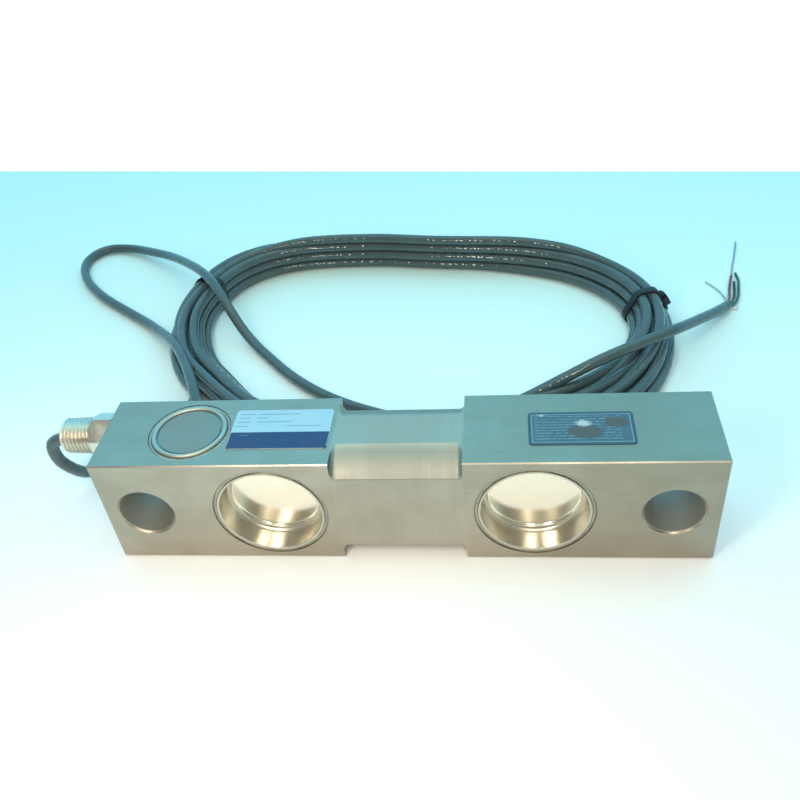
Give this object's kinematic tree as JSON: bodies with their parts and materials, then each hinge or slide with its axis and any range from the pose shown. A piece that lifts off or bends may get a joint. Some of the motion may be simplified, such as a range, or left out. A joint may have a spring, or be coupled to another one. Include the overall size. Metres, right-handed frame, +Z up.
{
  "type": "weighing load cell",
  "caption": "Double-ended shear beam load cell: ground steel bar with a turned middle seat, end pin holes, bright sealing cups and a coiled black cable from a threaded conduit fitting.",
  "frame": {"origin": "middle of the beam's bottom face, on the surface that the part lies on", "axes": "+X along the beam away from the cable fitting, +Y from the front face to the rear face, +Z up"},
  "size_m": [0.355, 0.2281, 0.0452],
  "materials": {
    "beam_steel": "fine ground, satin nickel-grey",
    "cup_steel": "bright drawn sheet",
    "cover_steel": "turned, satin",
    "fitting_steel": "machined, semi-bright",
    "board_laminate": "solder mask",
    "pad_foam": "matte foam",
    "resistor_body": "matte",
    "seal_rubber": "matte",
    "potting_resin": "cast resin",
    "gauge_foil": "amber film",
    "nameplate_print": "printed foil, white over dark blue",
    "rating_print": "printed foil, dark blue",
    "cable_jacket": "extruded, semi-gloss",
    "tie_plastic": "moulded",
    "red_insulation": "extruded",
    "black_insulation": "extruded",
    "green_insulation": "extruded",
    "white_insulation": "extruded",
    "tinned_wire": "tinned strands",
    "loom_insulation": "thin enamelled and sleeved leads"
  },
  "bodies": {
    "root": {"beam_body": "beam_steel", "board_pad": "pad_foam", "cable_coil": "cable_jacket", "cable_lead": "cable_jacket", "cable_seal": "seal_rubber", "cable_tail": "cable_jacket", "cavity_cover": "cover_steel", "circuit_board": "board_laminate", "coil_tie_left": "tie_plastic", "coil_tie_right": "tie_plastic", "conductor_black": "black_insulation", "conductor_green": "green_insulation", "conductor_red": "red_insulation", "conductor_red_core": "tinned_wire", "conductor_white": "white_insulation", "conduit_fitting": "fitting_steel", "core_loom": "loom_insulation", "gauge_loom_left": "loom_insulation", "gauge_loom_right": "loom_insulation", "nameplate": "nameplate_print", "potting_plug": "potting_resin", "rating_plate": "rating_print", "seal_cup_front_left": "cup_steel", "seal_cup_front_right": "cup_steel", "seal_cup_rear_left": "cup_steel", "seal_cup_rear_right": "cup_steel", "shield_strand": "tinned_wire", "strain_gauge_front_left": "gauge_foil", "strain_gauge_front_right": "gauge_foil", "strain_gauge_rear_left": "gauge_foil", "strain_gauge_rear_right": "gauge_foil", "trim_resistors": "resistor_body", "web_leads_left": "loom_insulation", "web_leads_right": "loom_insulation"}
  },
  "joints": []
}
